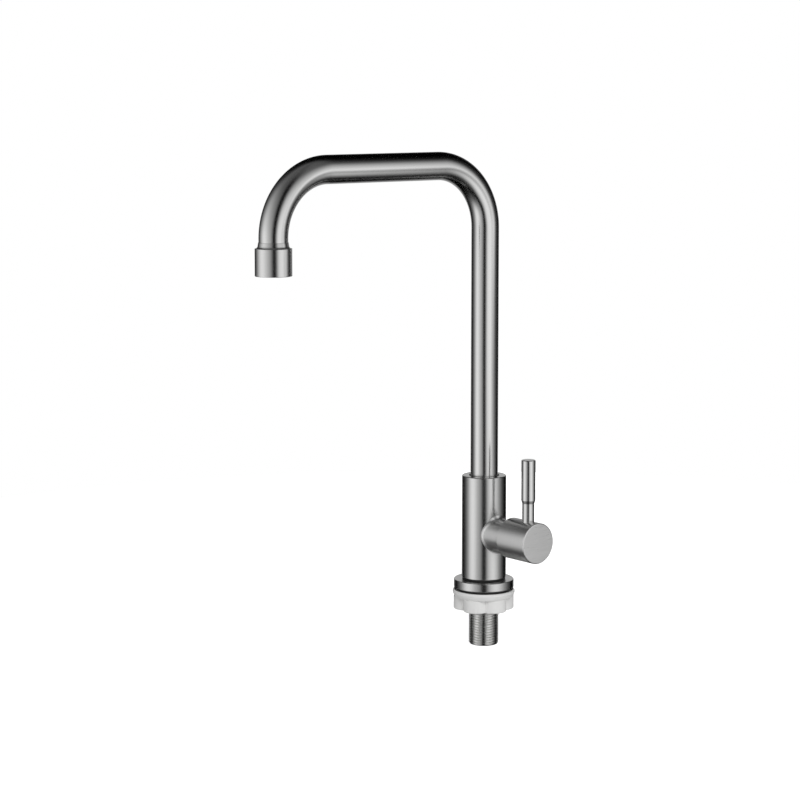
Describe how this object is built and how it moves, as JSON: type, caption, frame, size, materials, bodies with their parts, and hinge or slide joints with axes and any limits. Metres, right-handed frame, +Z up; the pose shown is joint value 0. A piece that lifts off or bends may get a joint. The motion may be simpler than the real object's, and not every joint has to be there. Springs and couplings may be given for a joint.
{
  "type": "gooseneck bar faucet",
  "caption": "Single-supply bar faucet: slim column, tall swivelling square-gooseneck spout with aerator, side drum handle with rod lever, threaded shank with plastic hand nut.",
  "frame": {"origin": "centre of the deck face, which is the underside of the base gasket", "axes": "+Z up along the column; the spout reaches towards -Y; the handle stands on +X"},
  "size_m": [0.0771, 0.2137, 0.3437],
  "materials": {
    "brushed_steel": "fine circumferential brushing on stainless steel",
    "satin_steel_tube": "satin stainless tube, brushed along its length",
    "polished_steel": "finely turned, near mirror",
    "shank_steel": "turned and thread-cut stainless steel",
    "brass": "plain turned brass",
    "black_rubber": "matte black rubber",
    "white_plastic": "moulded off-white plastic",
    "black_nylon": "moulded black nylon",
    "grey_plastic": "moulded light grey plastic",
    "ceramic": "lapped technical ceramic",
    "spring_steel": "plain steel"
  },
  "bodies": {
    "fixed_body": {"base_gasket": "black_rubber", "base_flange": "brushed_steel", "threaded_shank": "shank_steel", "shank_o_ring": "black_rubber", "body_foot_ring": "black_rubber", "faucet_body": "brushed_steel", "spout_retaining_screw": "spring_steel", "valve_seat_seal": "black_rubber", "fixed_ceramic_disc": "ceramic", "valve_housing": "brass", "housing_o_ring": "black_rubber", "thrust_washer": "grey_plastic", "swivel_bush": "black_nylon"},
    "spout": {"spout_tube": "satin_steel_tube", "spout_sleeve": "brass", "spout_o_ring_lower": "black_rubber", "spout_o_ring_upper": "black_rubber", "aerator_housing": "brushed_steel", "aerator_washer": "black_rubber", "aerator_diffuser": "grey_plastic", "aerator_screens": "spring_steel", "aerator_cage": "grey_plastic"},
    "handle": {"handle_hub": "brushed_steel", "lever_rod": "polished_steel", "valve_spindle": "brass", "spindle_o_rings": "black_rubber", "spindle_circlip": "spring_steel", "moving_ceramic_disc": "ceramic"},
    "washer": {"clamp_washer": "white_plastic"},
    "nut": {"lock_nut": "white_plastic"}
  },
  "joints": [
    {"name": "spout_swivel", "type": "hinge", "parent": "fixed_body", "child": "spout", "pos_m": [0, 0, 0.0635], "axis": [0, 0, 1], "continuous": true},
    {"name": "handle_turn", "type": "hinge", "parent": "fixed_body", "child": "handle", "pos_m": [0, 0, 0.04], "axis": [1, 0, 0], "range_deg": [0, 90]},
    {"name": "washer_slide", "type": "slide", "parent": "fixed_body", "child": "washer", "axis": [0, 0, -1], "range_m": [0, 0.02]},
    {"name": "nut_turn", "type": "hinge", "parent": "washer", "child": "nut", "pos_m": [0, 0, -0.011], "axis": [0, 0, -1], "range_deg": [0, 3960]}
  ],
  "couplings": [
    {"joint": "washer_slide", "follows": "nut_turn", "m_per_rad": 0.00028876}
  ]
}
